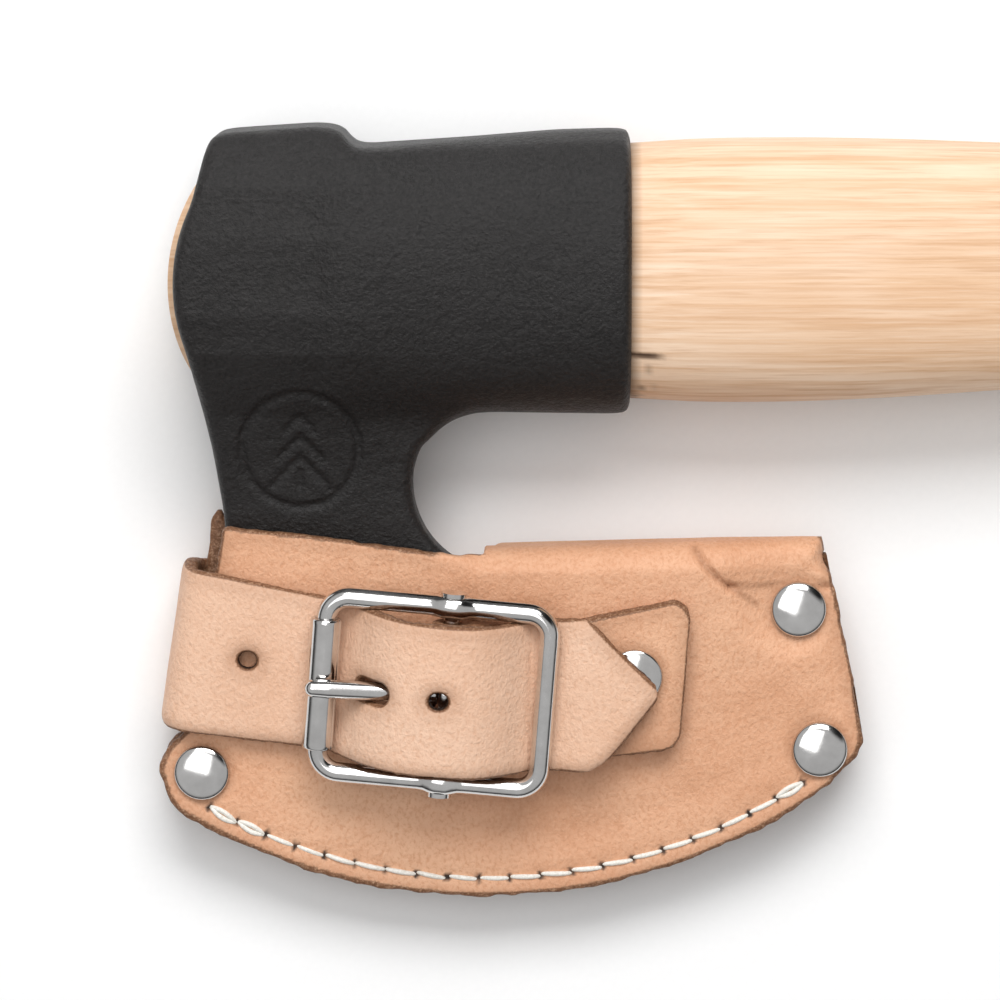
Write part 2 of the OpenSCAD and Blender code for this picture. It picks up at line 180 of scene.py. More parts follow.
def surface_net(field, lo, hi, step):
    """The surface where field is 0 as vertices and quads. field takes open x, y and z grids."""
    lo, step = np.array(lo, float), np.broadcast_to(np.array(step, float), 3)
    axes = [np.arange(a, b + s, s) for a, b, s in zip(lo, hi, step)]
    x, y, z = (axes[0][:, None, None], axes[1][None, :, None], axes[2][None, None, :])
    f = np.broadcast_to(field(x, y, z), [len(a) for a in axes]).astype(np.float32)
    inside = f < 0
    n = np.array(f.shape) - 1
    corners = [(a, b, c) for a in (0, 1) for b in (0, 1) for c in (0, 1)]
    total = sum(inside[a:a + n[0], b:b + n[1], c:c + n[2]].astype(np.int8) for a, b, c in corners)
    mixed = (total > 0) & (total < 8)
    index = np.full(n, -1)
    index[mixed] = np.arange(mixed.sum())
    cells = np.argwhere(mixed)
    acc, count = np.zeros((len(cells), 3)), np.zeros(len(cells))
    for c0 in corners:
        for ax in range(3):
            if c0[ax]:
                continue
            c1 = tuple(1 if i == ax else v for i, v in enumerate(c0))
            f0 = f[tuple((cells + c0).T)]
            f1 = f[tuple((cells + c1).T)]
            cross = (f0 < 0) != (f1 < 0)
            t = np.where(cross, f0 / np.where(cross, f0 - f1, 1), 0)
            p = np.tile(np.array(c0, float), (len(cells), 1))
            p[:, ax] += t
            acc[cross] += p[cross]
            count[cross] += 1
    v = cells + acc / count[:, None]
    grads = np.gradient(f)
    for _ in range(2):
        g = np.column_stack([sample(d, v) for d in grads])
        size = np.maximum((g * g).sum(1), 1e-4)
        move = -(sample(f, v) / size)[:, None] * g
        v = v + np.clip(move, -0.5, 0.5)
    quads = []
    for ax in range(3):
        o1, o2 = (ax + 1) % 3, (ax + 2) % 3
        low = [slice(1, -1)] * 3
        low[ax] = slice(0, -1)
        high = list(low)
        high[ax] = slice(1, None)
        a, b = inside[tuple(low)], inside[tuple(high)]
        at = np.argwhere(a != b)
        flip = ~a[tuple(at.T)]
        base = at.copy()
        e1, e2 = np.eye(3, dtype=int)[o1], np.eye(3, dtype=int)[o2]
        ring = [index[tuple((base + d).T)] for d in (0 * e1, e1, e1 + e2, e2)]
        q = np.column_stack(ring)
        q[flip] = q[flip][:, ::-1]
        quads.append(q)
    return v * step + lo, np.vstack(quads)


def sample(grid, v):
    """A grid's value between its nodes."""
    top = np.array(grid.shape) - 2
    i = np.clip(np.floor(v).astype(int), 0, top)
    t = np.clip(v - i, 0, 1)
    total = 0
    for a in (0, 1):
        for b in (0, 1):
            for c in (0, 1):
                w = ((t[:, 0] if a else 1 - t[:, 0]) * (t[:, 1] if b else 1 - t[:, 1])
                     * (t[:, 2] if c else 1 - t[:, 2]))
                total = total + w * grid[i[:, 0] + a, i[:, 1] + b, i[:, 2] + c]
    return total


def add(name, verts, faces, body, material, replaces=(), masks=None, placed=False):
    """A mesh object from points in axe millimetres, riding on a body."""
    mesh = bpy.data.meshes.new(name)
    points = verts if placed else place(verts)
    mesh.from_pydata(np.asarray(points).tolist(), [], [list(map(int, f)) for f in faces])
    mesh.validate()
    mesh.polygons.foreach_set("use_smooth", [True] * len(mesh.polygons))
    for key, values in (masks or {}).items():
        layer = mesh.attributes.new(key, "FLOAT", "POINT")
        layer.data.foreach_set("value", np.asarray(values, np.float32))
    mesh.materials.append(material)
    obj = bpy.data.objects.new(name, mesh)
    bpy.context.scene.collection.objects.link(obj)
    if replaces:
        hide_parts(*replaces)
    if body:
        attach(obj, body)
    return obj


def tube(path, radius, sides=20, closed=False):
    """Vertices and faces of a round tube along points."""
    p = np.array(path, float)
    n = len(p)
    t = (np.roll(p, -1, 0) - np.roll(p, 1, 0)) if closed else np.gradient(p, axis=0)
    t /= np.linalg.norm(t, axis=1)[:, None]
    up = np.cross(t[0], [0.31, 0.2, 0.93])
    up /= np.linalg.norm(up)
    a = np.linspace(0, 2 * math.pi, sides, endpoint=False)
    r = np.broadcast_to(np.asarray(radius, float), n)
    verts = []
    for i in range(n):
        up = up - t[i] * (up @ t[i])
        up /= np.linalg.norm(up)
        side = np.cross(t[i], up)
        verts.append(p[i] + r[i] * (np.cos(a)[:, None] * up + np.sin(a)[:, None] * side))
    last = n if closed else n - 1
    faces = [(i * sides + k, i * sides + (k + 1) % sides, ((i + 1) % n) * sides + (k + 1) % sides,
              ((i + 1) % n) * sides + k) for i in range(last) for k in range(sides)]
    if not closed:
        faces.append(tuple(range(sides))[::-1])
        faces.append(tuple((n - 1) * sides + k for k in range(sides)))
    return np.vstack(verts), faces


def lathe(profile, sides=64):
    """A closed turned solid from (radius, height) points, the first and last on the axis."""
    prof = np.array(profile, float)
    a = np.linspace(0, 2 * math.pi, sides, endpoint=False)
    rows = [np.column_stack([r * np.cos(a), r * np.sin(a), np.full(sides, h)]) for r, h in prof[1:-1]]
    verts = np.vstack(rows + [[[0, 0, prof[0][1]]], [[0, 0, prof[-1][1]]]])
    m = len(rows)
    faces = [(i * sides + k, i * sides + (k + 1) % sides, (i + 1) * sides + (k + 1) % sides,
              (i + 1) * sides + k) for i in range(m - 1) for k in range(sides)]
    faces += [(m * sides, (k + 1) % sides, k) for k in range(sides)]
    faces += [(m * sides + 1, (m - 1) * sides + k, (m - 1) * sides + (k + 1) % sides)
              for k in range(sides)]
    return verts, faces


# -------------------------------------------------------------- materials
class Shade:
    """A material and short ways to add nodes to it. Positions are metres in the row frame."""

    def __init__(self, name):
        self.material = bpy.data.materials.new(name)
        self.material.use_nodes = True
        self.tree = self.material.node_tree
        self.shader = self.tree.nodes["Principled BSDF"]
        self.where = self.tree.nodes.new("ShaderNodeTexCoord").outputs["Object"]

    def link(self, a, b):
        self.tree.links.new(a, b)

    def stretched(self, x, y, z, turn=(0, 0, 0)):
        node = self.tree.nodes.new("ShaderNodeMapping")
        node.inputs["Scale"].default_value = (x, y, z)
        node.inputs["Rotation"].default_value = turn
        self.link(self.where, node.inputs["Vector"])
        return node.outputs[0]

    def noise(self, scale, detail=4, rough=0.55, at=None, warp=0):
        node = self.tree.nodes.new("ShaderNodeTexNoise")
        node.inputs["Scale"].default_value = scale
        node.inputs["Detail"].default_value = detail
        node.inputs["Roughness"].default_value = rough
        node.inputs["Distortion"].default_value = warp
        self.link(at or self.where, node.inputs["Vector"])
        return node.outputs["Fac"]

    def cells(self, scale):
        node = self.tree.nodes.new("ShaderNodeTexVoronoi")
        node.inputs["Scale"].default_value = scale
        self.link(self.where, node.inputs["Vector"])
        return node.outputs["Distance"]

    def mask(self, name):
        node = self.tree.nodes.new("ShaderNodeAttribute")
        node.attribute_name = name
        return node.outputs["Fac"]

    def ramp(self, value, *stops):
        node = self.tree.nodes.new("ShaderNodeValToRGB")
        ends = node.color_ramp.elements
        while len(ends) < len(stops):
            ends.new(0.5)
        for end, (at, colour) in zip(ends, stops):
            end.position = at
            end.color = (*colour, 1) if isinstance(colour, tuple) else (colour,) * 3 + (1,)
        self.link(value, node.inputs["Fac"])
        return node.outputs["Color"]

    def math(self, kind, a, b):
        node = self.tree.nodes.new("ShaderNodeMath")
        node.operation = kind
        for socket, value in zip(node.inputs, (a, b)):
            if isinstance(value, (int, float)):
                socket.default_value = value
            else:
                self.link(value, socket)
        return node.outputs[0]

    def mix(self, amount, a, b, kind="MIX"):
        node = self.tree.nodes.new("ShaderNodeMixRGB")
        node.blend_type = kind
        for socket, value in zip(node.inputs, (amount, a, b)):
            if isinstance(value, (int, float)):
                socket.default_value = value
            elif isinstance(value, tuple):
                socket.default_value = (*value, 1)
            else:
                self.link(value, socket)
        return node.outputs[0]

    def bump(self, *layers):
        normal = None
        for height, millimetres, strength in layers:
            node = self.tree.nodes.new("ShaderNodeBump")
            node.inputs["Distance"].default_value = millimetres / 1000
            node.inputs["Strength"].default_value = strength
            self.link(height, node.inputs["Height"])
            if normal:
                self.link(normal, node.inputs["Normal"])
            normal = node.outputs[0]
        self.link(normal, self.shader.inputs["Normal"])

    def set(self, **values):
        for key, value in values.items():
            socket = self.shader.inputs[key.replace("_", " ")]
            if isinstance(value, (int, float)):
                socket.default_value = value
            elif isinstance(value, tuple):
                socket.default_value = (*value, 1)
            else:
                self.link(value, socket)
        return self.material


def black_steel():
    s = Shade("black_steel")
    grain = s.noise(1700, 5, 0.65)
    cloud = s.noise(60, 4, 0.6)
    colour = s.mix(s.ramp(grain, (0.35, 0.0), (0.75, 1.0)), (0.005, 0.0042, 0.004), (0.021, 0.0185, 0.018))
    colour = s.mix(s.ramp(cloud, (0.4, 0.0), (0.7, 0.5)), colour, (0.016, 0.0142, 0.014))
    colour = s.mix(s.mask("worn"), colour, (0.09, 0.085, 0.08))
    s.bump((cloud, 1.2, 0.25), (s.noise(520, 3), 0.5, 0.55), (grain, 0.3, 0.9))
    return s.set(Base_Color=colour, Roughness=s.ramp(grain, (0.25, 0.56), (0.8, 0.36)),
                 Specular_IOR_Level=0.34)


def birch():
    s = Shade("birch")
    zones = s.noise(1, 2, 0.5, s.stretched(14, 55, 55), 0.6)
    fibres = s.noise(1, 4, 0.6, s.stretched(60, 1900, 1900))
    lines = s.noise(1, 3, 0.55, s.stretched(16, 620, 620), 0.5)
    rings = s.tree.nodes.new("ShaderNodeTexWave")
    rings.wave_type, rings.rings_direction = "RINGS", "X"
    for key, value in (("Scale", 1), ("Distortion", 7), ("Detail", 2), ("Detail Scale", 0.5)):
        rings.inputs[key].default_value = value
    s.link(s.stretched(4, 120, 75, (0, 0.02, 0.03)), rings.inputs["Vector"])
    colour = s.ramp(zones, (0.35, (0.80, 0.545, 0.36)), (0.65, (0.885, 0.66, 0.485)))
    colour = s.mix(s.ramp(rings.outputs["Fac"], (0.55, 0.0), (0.92, 0.42), (1.0, 0.2)), colour,
                   (0.70, 0.42, 0.23))
    colour = s.mix(s.ramp(lines, (0.48, 0.0), (0.68, 0.55)), colour, (0.66, 0.385, 0.21))
    colour = s.mix(s.ramp(fibres, (0.5, 0.0), (0.72, 0.5)), colour, (0.55, 0.30, 0.15))
    colour = s.mix(s.ramp(fibres, (0.28, 0.3), (0.45, 0.0)), colour, (0.94, 0.80, 0.66))
    # darker where torn fibres are, and painted shade where the wood leaves the collar and in a crack
    colour = s.mix(s.mask("torn_wood_and_painted_shade"), colour, (0.06, 0.03, 0.016))
    s.bump((lines, 0.15, 0.25), (fibres, 0.08, 0.5))
    return s.set(Base_Color=colour, Roughness=s.ramp(fibres, (0.3, 0.5), (0.7, 0.6)),
                 Specular_IOR_Level=0.3)


def leather(name, light, mid, deep):
    """Natural leather: soft blotches, pores and creases, brown where mask raw is 1, painted shade where
    mask shade is set and near-black painted shade in the stitch and strap holes.
    """
    s = Shade(name)
    blotch = s.noise(38, 5, 0.6)
    fine = s.noise(420, 4, 0.6)
    grain = s.noise(1, 3, 0.6, s.stretched(1750, 1300, 1500), 0.25)
    pores = s.cells(1900)
    fibre = s.noise(2100, 5, 0.75)
    colour = s.ramp(blotch, (0.3, light), (0.55, mid), (0.75, deep))
    colour = s.mix(s.ramp(fine, (0.5, 0.0), (0.75, 0.3)), colour, deep)
    colour = s.mix(s.ramp(grain, (0.34, 0.7), (0.5, 0.0)), colour, deep)
    colour = s.mix(s.ramp(grain, (0.52, 0.0), (0.68, 0.35)), colour, light)
    colour = s.mix(s.ramp(pores, (0.0, 0.4), (0.3, 0.0)), colour, deep)
    raw = s.ramp(fibre, (0.32, (0.060, 0.024, 0.011)), (0.5, (0.19, 0.085, 0.04)),
                 (0.66, (0.52, 0.33, 0.21)))
    loose = s.math("MULTIPLY", s.math("SUBTRACT", fibre, 0.5), 1.5)
    soft = s.math("MULTIPLY", s.math("ADD", s.mask("raw"), loose), s.math("CEIL", s.mask("raw"), 0))
    colour = s.mix(s.ramp(soft, (0.3, 0.0), (0.62, 1.0)), colour, raw)
    # painted shade: darker along edges, in creases and round rivets, and near-black in the stitch and
    # strap holes
    colour = s.mix(s.mask("shade"), colour, (0.28, 0.125, 0.06))
    colour = s.mix(s.mask("hole_shade"), colour, (0.02, 0.009, 0.005))
    s.bump((fine, 0.35, 0.35), (grain, 0.34, 0.7), (fibre, 0.12, 0.4))
    return s.set(Base_Color=colour, Roughness=s.ramp(grain, (0.3, 0.62), (0.7, 0.48)),
                 Specular_IOR_Level=0.36)


def nickel():
    s = Shade("nickel")
    haze = s.noise(260, 4, 0.6)
    s.bump((haze, 0.05, 0.2), (s.noise(1500, 3), 0.02, 0.2))
    return s.set(Base_Color=s.ramp(haze, (0.3, (0.62, 0.61, 0.60)), (0.7, (0.74, 0.73, 0.72))),
                 Metallic=1.0, Roughness=s.ramp(haze, (0.3, 0.09), (0.75, 0.17)))


def plain_steel():
    s = Shade("plain_steel")
    lines = s.noise(1, 3, 0.5, s.stretched(300, 2500, 300))
    s.bump((lines, 0.04, 0.5))
    return s.set(Base_Color=s.ramp(lines, (0.3, (0.3, 0.3, 0.31)), (0.7, (0.5, 0.5, 0.5))),
                 Metallic=1.0, Roughness=0.38)


def thread():
    s = Shade("waxed_thread")
    ply = s.noise(2600, 3, 0.6)
    s.bump((ply, 0.08, 0.7))
    return s.set(Base_Color=s.ramp(ply, (0.3, (0.70, 0.66, 0.58)), (0.65, (0.90, 0.88, 0.83))),
                 Roughness=0.55)


def brown_edge():
    s = Shade("dark_leather")
    fibre = s.noise(1400, 5, 0.75)
    layers = s.noise(1, 3, 0.6, s.stretched(150, 150, 2600))
    colour = s.ramp(fibre, (0.3, (0.055, 0.025, 0.012)), (0.55, (0.14, 0.065, 0.032)),
                    (0.8, (0.30, 0.17, 0.09)))
    colour = s.mix(s.ramp(layers, (0.45, 0.0), (0.7, 0.5)), colour, (0.04, 0.018, 0.009))
    s.bump((fibre, 0.25, 0.8), (layers, 0.15, 0.5))
    return s.set(Base_Color=colour, Roughness=0.85, Specular_IOR_Level=0.2)


BLACK, BIRCH, NICKEL, STEEL = black_steel(), birch(), nickel(), plain_steel()
TAN = leather("natural_leather", (0.80, 0.47, 0.295), (0.74, 0.40, 0.24), (0.63, 0.31, 0.17))
PALE = leather("pale_leather", (0.86, 0.58, 0.42), (0.82, 0.52, 0.36), (0.73, 0.43, 0.28))
THREAD, EDGE = thread(), brown_edge()


# ------------------------------------------------------------------- head
HEAD_OUTLINE = (
    [(-41.7, 28.3), (-25.8, 29.4), (-22.4, 28.8), (-21.2, 27), (-19.4, 25.9), (-13.4, 26.4),
     (0.6, 27.5), (11.2, 28.4), (22, 28.7), (COLLAR_END, 27.6), (COLLAR_END, -15), (21.8, -16.1),
     (0.6, -15.7), (-2.8, -16.1), (-6.3, -17.7), (-8.8, -20.2)]
    + arc(2.7, -27.5, 14.1, 153, 251, 20) + [(49, -65.1)] + arc(0, 0, EDGE_R, -53.03, -123.5, 60)
    + [(-42.6, -52), (-41, -42), (-41.1, -32.7), (-42.9, -21.2), (-45.3, -10.7)]
    + arc(-19.5, 4.8, 29, 201, 154, 10) + [(-44.9, 20.1), (-43.3, 26.5)])


def rounded(points, size):
    """A closed outline with its corners cut twice, by at most size each time."""
    for _ in range(2):
        out = []
        for i, p in enumerate(points):
            p = np.array(p, float)
            for q in (np.array(points[i - 1], float), np.array(points[(i + 1) % len(points)], float)):
                length = np.linalg.norm(q - p)
                out.append(tuple(p + (q - p) / length * min(size, 0.28 * length)))
        points = out
    return points


HEAD_OUTLINE = rounded(HEAD_OUTLINE, 1.3)
CHEEK_Y = [-36.5, -33, -24, -16, -12, -6, 0, 12, 20, 26, 29.6]
CHEEK_H = [2.6, 4.2, 7, 9.8, 12.2, 15.4, 16.75, 16.75, 15.6, 12.6, 10.5]
OVAL_POWER = 2.5


def oval(y, z, mid, a, b):
    """Roughly the distance to an oval of half height a and half width b."""
    rho = (np.abs((y - mid) / a) ** OVAL_POWER + np.abs(z / b) ** OVAL_POWER) ** (1 / OVAL_POWER)
    return (rho - 1) * b


def eye(x):
    """Middle, half height and half width of the tapered eye."""
    t = (x + 49.6) / (COLLAR_END + 49.6)
    return 5.5 + 0.75 * t, 16.8 + 3.3 * t, 12.4 + t


def stamp(x, y):
    """A plain ring round a spruce of three chevrons: negative inside its lines."""
    u, v = x + 29, y + 21.5
    lines = np.abs(np.hypot(u, v) - 9.2) - 0.55
    for tip in (5.6, 2.2, -1.2):
        across = np.abs(u)
        d = np.abs((v - tip) + across * 1.05) / 1.45
        lines = np.minimum(lines, np.maximum(d - 0.45, across - 2.4 - (5.6 - tip) * 0.36))
    trunk = np.maximum(np.abs(u) - 0.45, np.abs(v + 4.6) - 1.7)
    return np.minimum(lines, trunk)


def head_field(x, y, z):
    depth = np.abs(z)
    r = np.hypot(x, y)
    outline = to_polygon(*in_plan(x, y), HEAD_OUTLINE)[:, :, None]
    plate = depth - np.interp(r, [0, 79, EDGE_R + 0.1], [8.2, 0.9, 0.1])
    cheek = (depth - np.interp(y, CHEEK_Y, CHEEK_H)) * 0.93
    cheek = smax(cheek + 0 * x, (x + 4) * 0.6, 14)
    cheek = smax(cheek, -36.5 - y, 1)
    collar = smax(oval(y, z, EYE_Y, 22.7, 16.5) + 0 * x, -24 - x, 3)
    body = smin(smin(plate, cheek, 4), collar, 3)
    body = body + 0.12 * waves(x, y, z, 16, 3)
    rounding = 0.2 + 1.8 * ramp(r, 80, 72)
    solid = smax(outline, body, rounding)
    bevel = (outline + body) * 0.7071 + 0.75
    near_notch = ramp(np.hypot(x - 2.7, y + 27.5), 18, 15.5) * ramp(r, 76, 70)
    solid = np.maximum(solid, bevel - 8 * (1 - near_notch))
    groove = np.maximum(stamp(x, y) + 0 * z, -z)
    solid = smax(solid, -np.maximum(groove, -(body + 0.4)), 0.25)
    mid, a, b = eye(x)
    return smax(solid, -oval(y, z, mid, a, b), 0.3)


def make_head():
    verts, quads = surface_net(head_field, (-52, -84, -19), (52, 31.5, 19), (0.55, 0.55, 0.5))
    d = np.abs(to_polygon(verts[:, 0], verts[:, 1], HEAD_OUTLINE))
    worn = ramp(d, 0.9, 0.1) * ramp(waves(*verts.T, 5, 8), 0.3, 1.1) * 0.35
    edge = ramp(np.hypot(verts[:, 0], verts[:, 1]), EDGE_R - 3.2, EDGE_R - 2.2)
    add("axe_head_forged", verts, quads, "axe", BLACK, ["axe_head"],
        {"worn": np.maximum(worn, edge)})


make_head()


# ----------------------------------------------------------------- handle
HANDLE_END = 590.0
HANDLE = [(-49.6, 5.5, 16.8, 12.4), (COLLAR_END, EYE_Y, 20.1, 13.4), (34, 6.3, 20.7, 13.9),
          (47, 6.4, 20.8, 14), (63, 6.6, 20.4, 13.9), (81, 6.9, 19.5, 13.5),
          (112.1, 7.6, 18, 12.7), (165.2, 8.6, 16.8, 12), (247.8, 9.8, 16.2, 11.6),
          (330.4, 9.4, 16.2, 11.6), (413, 6.4, 16.6, 11.7), (472, 2.2, 17.2, 12),
          (519.2, -2.4, 18.8, 13.2), (551.7, -6.2, 21.6, 15), (572.3, -8.4, 23.2, 15.4),
          (582.9, -9, 22.6, 14.8), (587.5, -9, 20.6, 13), (HANDLE_END, -9, 17.5, 10)]


def smooth_rows(rows, x):
    """Rows of values at x, by a monotone-ish cubic through the stations."""
    rows = np.array(rows, float)
    xs = rows[:, 0]
    slopes = np.gradient(rows, xs, axis=0)
    i = np.clip(np.searchsorted(xs, x) - 1, 0, len(xs) - 2)
    h = (xs[i + 1] - xs[i])[:, None]
    t = ((x - xs[i])[:, None]) / h
    a, b, ma, mb = rows[i], rows[i + 1], slopes[i] * h, slopes[i + 1] * h
    return ((2 * t**3 - 3 * t**2 + 1) * a + (t**3 - 2 * t**2 + t) * ma
            + (3 * t**2 - 2 * t**3) * b + (t**3 - t**2) * mb)


def head_end_x(y):
    """The domed end at the head, just below the faces of the two wedges."""
    return -19.38 - np.sqrt(np.maximum(900 - (y - 4.8) ** 2, 1))


def make_handle():
    sides = 192
    inside = [-49.6, -20, 10, COLLAR_END]
    outside = np.concatenate([np.linspace(COLLAR_END + 0.8, 110, 90),
                              np.linspace(112, HANDLE_END, 200)])
    rows = [(x, *eye(x)) for x in inside] + [tuple(r) for r in smooth_rows(HANDLE[1:], outside)]
    a = np.linspace(0, 2 * math.pi, sides, endpoint=False) + math.pi / sides
    ca, sa = np.cos(a), np.sin(a)
    unit_z = np.sign(ca) * np.abs(ca) ** (2 / OVAL_POWER)
    unit_y = np.sign(sa) * np.abs(sa) ** (2 / OVAL_POWER)
    verts = []
    for x, mid, half_y, half_z in rows:
        y, z = mid + half_y * unit_y, half_z * unit_z
        verts.append(np.column_stack([np.maximum(x, head_end_x(y)), y, z]))
    n = len(rows)
    faces = [(i * sides + k, i * sides + (k + 1) % sides, (i + 1) * sides + (k + 1) % sides,
              (i + 1) * sides + k) for i in range(n - 1) for k in range(sides)]
    faces = [f[::-1] for f in faces]
    # ends: rings shrink to a point, on the dome at the head and flat at the knob
    for end, sign in ((0, 1), (n - 1, -1)):
        ring = verts[end]
        start = end * sides
        mid = rows[end][1]
        for s in (0.8, 0.6, 0.4, 0.2, 0.04):
            y = mid + (ring[:, 1] - mid) * s
            z = ring[:, 2] * s
            x = head_end_x(y) if end == 0 else ring[:, 0]
            first = sum(len(v) for v in verts)
            verts.append(np.column_stack([x, y, z]))
            for k in range(sides):
                f = (start + k, start + (k + 1) % sides, first + (k + 1) % sides, first + k)
                faces.append(f if sign > 0 else f[::-1])
            start = first
        cap = tuple(start + k for k in range(sides))
        faces.append(cap if sign > 0 else cap[::-1])
    verts = np.vstack(verts)
    x, y, z = verts.T
    # torn: the wood's own darker torn fibres below the collar
    torn = (ramp(x, COLLAR_END + 5, COLLAR_END) * (x > 0) * ramp(y, -4, -9)
            * ramp(waves(x, y, z, 2.5, 4), 0, 1))
    # painted shade: a dark band on the wood in the step where it leaves the collar
    lip_shade = ramp(x, COLLAR_END + 1.6, COLLAR_END + 0.2) * (x > 0) * 0.55
    # painted shade: a dark line for a crack's gap, which is not cut in the mesh
    crack_shade = ramp(np.abs(y + 6.2 + 0.05 * (x - 23)), 0.62, 0.2) * ramp(x, 29, 26) * (z > 0) * (x > 0)
    add("handle_birch", verts, faces, "axe", BIRCH, ["handle"],
        {"torn_wood_and_painted_shade": np.clip(np.maximum(np.maximum(torn * 0.8, lip_shade), crack_shade), 0, 1)})


make_handle()


# ----------------------------------------------------------------- sheath
FRONT_OUTLINE = (
    [(-41.2, -33.8), (-24, -35.5), (-3.8, -38.4), (-0.5, -37.4), (30, -36.5), (53.6, -35.9),
     (55.1, -43.5), (58.8, -60.2), (59.9, -66.8)]
    + arc(54.4, -67.6, 5.5, -4, -58, 8)
    + arc(0, 0, SHEATH_R, -54, -121.5, 60)
    + [(-50.3, -77.2), (-51.4, -73.9), (-51.6, -72.5), (-50.4, -69.4), (-47.2, -66.2), (-45.2, -52),
       (-42.4, -41)])
BACK_EXTRA = [(-41.2, -33.8), (-42.2, -32.1), (-43.6, -33.4), (-44.1, -39.8), (-45.2, -52),
              (-30, -52), (-30, -35.2)]
CREASES = [[(33.2, -37.4), (34.4, -39.6), (36.6, -42), (39.4, -43.9), (43.0, -46.2)],
           [(38.6, -43.3), (46, -43.1), (54.6, -43.6)]]
SEATS = [(TOE, 4.0), (LOWER_HEEL, 4.0), (UPPER_HEEL, 4.2)]


def stitch_angles():
    """The angles of the stitch holes about the centre of the edge's arc."""
    return np.radians(STITCH_FROM + (STITCH_TO - STITCH_FROM) * np.arange(STITCHES + 1) / STITCHES)


def lens(r):
    return WELT_HALF + np.maximum(SEAM_R - r, 0) * CONE


def fold_line(x):
    return -37.4 + 0.0277 * (x + 0.5)


def cavity(x, y):
    """Distance to the room round the blade in plan, negative inside."""
    a = math.radians(21)
    u, v = x * math.cos(a) - y * math.sin(a), x * math.sin(a) + y * math.cos(a)
    swept = np.where(u < 0, np.abs(v), np.hypot(u, v)) - 83.4
    right = ((x - 44.9) * 31.1 - (y + 38.9) * -7.3) / 31.95
    top = np.where(x > -0.5, y - fold_line(x) + 2.8, -50)
    return np.maximum(np.maximum(swept, right), top)


def sheath_field(x, y, z):
    x2, y2 = in_plan(x, y)
    r = np.hypot(x2, y2)
    front = to_polygon(x2, y2, FRONT_OUTLINE)
    back = np.minimum(front, to_polygon(x2, y2, BACK_EXTRA))
    rag = 0.16 * waves(x2, y2, 0, 1.6, 21) + 0.2 * waves(x2, y2, 0, 9, 22)
    fold = ramp(x2, -5, 0.5) * ramp(y2, -43, -39)
    rough = rag * (1 - fold)
    # the panels lie on the blade's lens and are pinched down along the heel side
    pinch = WELT_HALF + 0.32 * np.maximum(-to_polygon(x2, y2, PINCH) - 3, 0)
    inner = smin(lens(r), np.maximum(pinch, WELT_HALF), 1.5)
    outer = inner + LEATHER
    outer = outer + 0.5 * ramp(y2, -47, -40) * ramp(x2, 30, 40) * ramp(x2, 58, 50)
    for line in CREASES:
        outer = outer - 1.05 * np.exp(-(to_line(x2, y2, line) / 0.62) ** 2)
    for (px, py), seat in SEATS:
        d = np.hypot(x2 - px, y2 - py)
        outer = smin(outer, seat + 0.02 + 0.32 * np.maximum(d - 4.7, 0), 0.3)
    angle = np.degrees(np.arctan2(y2, x2)) % 360
    run = (ramp(angle, STITCH_FROM - 2, STITCH_FROM - 0.5)
           * ramp(angle, STITCH_TO + 1.5, STITCH_TO))
    share = (angle - STITCH_FROM) / (STITCH_TO - STITCH_FROM)
    pucker = 0.75 + 0.25 * np.cos(share * STITCHES * 2 * math.pi)
    outer = outer - 0.45 * run * pucker * np.exp(-((r - STITCH_R) / 1.1) ** 2)
    outer = outer + 0.16 * waves(x2, y2, 0, 17, 23) + 0.08 * waves(x2, y2, 0, 6, 24)
    mouth = 1.9 * ramp(x2, -17, -9) * ramp(x2, 2.5, -0.5) * (y2 > -50)
    near, far = (front + rough)[:, :, None], (back + rough + mouth)[:, :, None]
    outline = np.where(z > 0, near, far)
    rounding = (0.7 + 5.5 * fold)[:, :, None]
    shell = smax(np.abs(z) - outer[:, :, None], outline, rounding)
    cav = cavity(x2, y2)
    room = np.maximum(np.abs(z) - inner[:, :, None], cav[:, :, None])
    band = (y2 - fold_line(x2) + 2.8)
    slot = np.maximum(np.abs(z) - WELT_HALF, -cav[:, :, None])
    slot = np.where((x2 > -0.5)[:, :, None], np.maximum(slot, band[:, :, None]), slot)
    shell = smax(shell, -room, 0.4)
    return np.maximum(shell, -slot)


PINCH = [(-60, 20), (57, 20), (57, -45), (60, -66), (66, -120), (-60, -120)]


def make_sheath():
    verts, quads = surface_net(sheath_field, (-54, -96, -11), (63, -30, 11), (0.6, 0.6, 0.5))
    x, y, z = verts.T
    front = to_polygon(x, y, FRONT_OUTLINE)
    back = np.minimum(front, to_polygon(x, y, BACK_EXTRA))
    outline = np.where(z > 0, front, back)
    fold = ramp(x, -10, -5) * ramp(y, -45, -40) * ramp(x, 53.6, 52)
    low = ramp(y, -56, -64) * 0.45
    raw = ramp(outline, -0.75 - low, -0.15 - low * 0.4) * (1 - fold)
    inside = (np.abs(z) < lens(np.hypot(x, y)) + 0.7) & (cavity(x, y) < 0.5)
    raw = np.maximum(raw, inside * 1.0)
    shade = ramp(outline, -3.5, -0.4) * (1 - fold) * 0.28
    for line in CREASES:
        shade = np.maximum(shade, 0.62 * np.exp(-(to_line(x, y, line) / 0.5) ** 2))
    for (px, py), _ in SEATS:
        shade = np.maximum(shade, 0.4 * ramp(np.hypot(x - px, y - py), 6.2, 4.4))
    # painted shade: near-black dots at the stitch holes, which are not cut in the leather
    hole_shade = 0 * x
    for a in stitch_angles():
        u, v = x - STITCH_R * math.cos(a), y - STITCH_R * math.sin(a)
        along, across = -u * math.sin(a) + v * math.cos(a), u * math.cos(a) + v * math.sin(a)
        hole_shade = np.maximum(hole_shade, ramp(np.hypot(along / 0.55, across / 0.75), 1.3, 0.7))
    add("sheath_leather_panels", verts, quads, "sheath", TAN,
        ["sheath_leather"], {"raw": raw, "shade": shade, "hole_shade": hole_shade})


make_sheath()


